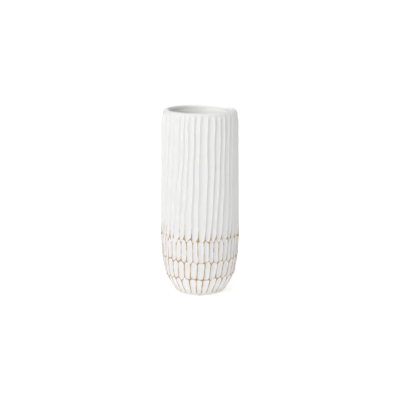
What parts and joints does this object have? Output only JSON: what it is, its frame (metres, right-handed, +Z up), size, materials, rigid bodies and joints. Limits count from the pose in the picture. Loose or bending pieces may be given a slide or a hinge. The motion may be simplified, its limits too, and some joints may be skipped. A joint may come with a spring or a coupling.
{
  "type": "carved ceramic vase",
  "caption": "Tall round-bottomed vase with hand-cut vertical flutes above bands of short scoops, a turned-in lip and a hollow inside.",
  "frame": {"origin": "centre of the plane that the four pads rest on, under the middle of the vase", "axes": "+Z up along the vase's own axis, -Y towards the front"},
  "size_m": [0.1519, 0.1519, 0.3555],
  "materials": {
    "white_coated_clay": "matt white coat that breaks to tan clay on the ridges of the lower scoops",
    "interior_glaze": "satin white glaze",
    "pad_felt": "pressed wool felt"
  },
  "bodies": {
    "root": {"ceramic_body": "white_coated_clay", "interior_glaze": "interior_glaze", "foot_pad_front": "pad_felt", "foot_pad_right": "pad_felt", "foot_pad_back": "pad_felt", "foot_pad_left": "pad_felt"}
  },
  "joints": []
}
